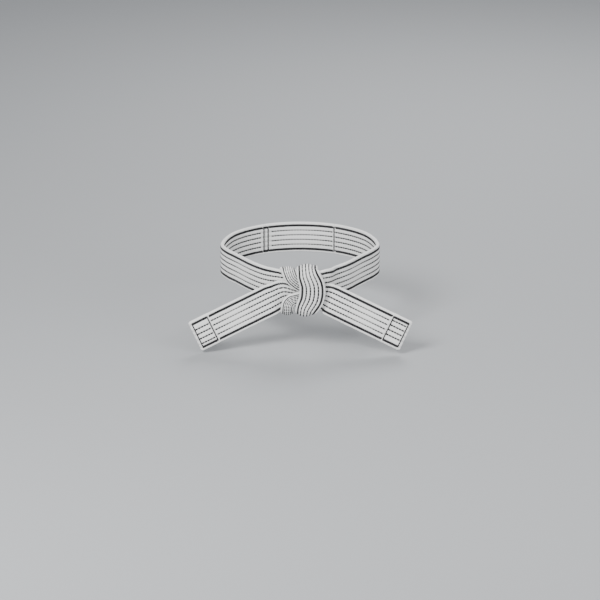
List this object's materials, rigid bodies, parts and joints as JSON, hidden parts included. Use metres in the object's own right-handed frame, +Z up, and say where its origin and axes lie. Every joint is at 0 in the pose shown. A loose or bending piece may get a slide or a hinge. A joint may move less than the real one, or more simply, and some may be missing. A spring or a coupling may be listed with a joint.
{
  "type": "martial arts belt",
  "caption": "Quilted cotton martial arts belt tied round the waist in a reef knot, with two stitched tails that flex and hemmed ends.",
  "frame": {"origin": "middle of the waist loop, half way up the belt", "axes": "+X across the waist to the viewer's right, -Y forwards through the knot, +Z up"},
  "size_m": [0.3151, 0.2603, 0.1214],
  "materials": {
    "cover": "off-white cotton twill",
    "padding": "needled cotton wadding",
    "canvas": "unbleached canvas",
    "thread": "black sewing thread"
  },
  "bodies": {
    "waist": {"back_waist_bobbin_thread": "thread", "back_waist_cover": "cover", "back_waist_needle_thread": "thread", "left_knot_bobbin_thread": "thread", "left_knot_core": "canvas", "left_splice_seam_thread": "thread", "left_waist_bobbin_thread": "thread", "left_waist_cover": "cover", "left_waist_needle_thread": "thread", "right_knot_core": "canvas", "right_knot_needle_thread": "thread", "right_splice_seam_thread": "thread", "right_waist_bobbin_thread": "thread", "right_waist_cover": "cover", "right_waist_needle_thread": "thread", "waist_canvas": "canvas", "waist_inner_padding": "padding", "waist_outer_padding": "padding"},
    "left_tail": {"left_tail_bobbin_thread": "thread", "left_tail_canvas": "canvas", "left_tail_cover": "cover", "left_tail_inner_padding": "padding", "left_tail_needle_thread": "thread", "left_tail_outer_padding": "padding"},
    "left_tip": {"left_hem": "cover", "left_hem_bobbin_thread": "thread", "left_hem_needle_thread": "thread", "left_tip_bobbin_thread": "thread", "left_tip_canvas": "canvas", "left_tip_cover": "cover", "left_tip_inner_padding": "padding", "left_tip_needle_thread": "thread", "left_tip_outer_padding": "padding"},
    "right_tail": {"right_tail_bobbin_thread": "thread", "right_tail_canvas": "canvas", "right_tail_cover": "cover", "right_tail_inner_padding": "padding", "right_tail_needle_thread": "thread", "right_tail_outer_padding": "padding"},
    "right_tip": {"right_hem": "cover", "right_hem_bobbin_thread": "thread", "right_hem_needle_thread": "thread", "right_tip_bobbin_thread": "thread", "right_tip_canvas": "canvas", "right_tip_cover": "cover", "right_tip_inner_padding": "padding", "right_tip_needle_thread": "thread", "right_tip_outer_padding": "padding"}
  },
  "joints": [
    {"name": "left_tail_flex", "type": "hinge", "parent": "waist", "child": "left_tail", "pos_m": [-0.043, -0.1194, -0.023], "axis": [-0.4331, 0.1533, 0.8882], "range_deg": [-25, 60], "stiffness_Nm_per_rad": 0.25},
    {"name": "left_tip_flex", "type": "hinge", "parent": "left_tail", "child": "left_tip", "pos_m": [-0.09323, -0.12892, -0.04585], "axis": [-0.4331, 0.1533, 0.8882], "range_deg": [-60, 60], "stiffness_Nm_per_rad": 0.08},
    {"name": "right_tail_flex", "type": "hinge", "parent": "waist", "child": "right_tail", "pos_m": [0.0455, -0.1292, -0.0206], "axis": [-0.4295, -0.1536, -0.8899], "range_deg": [-25, 60], "stiffness_Nm_per_rad": 0.25},
    {"name": "right_tip_flex", "type": "hinge", "parent": "right_tail", "child": "right_tip", "pos_m": [0.09592, -0.13761, -0.04348], "axis": [-0.4295, -0.1536, -0.8899], "range_deg": [-60, 60], "stiffness_Nm_per_rad": 0.08}
  ]
}
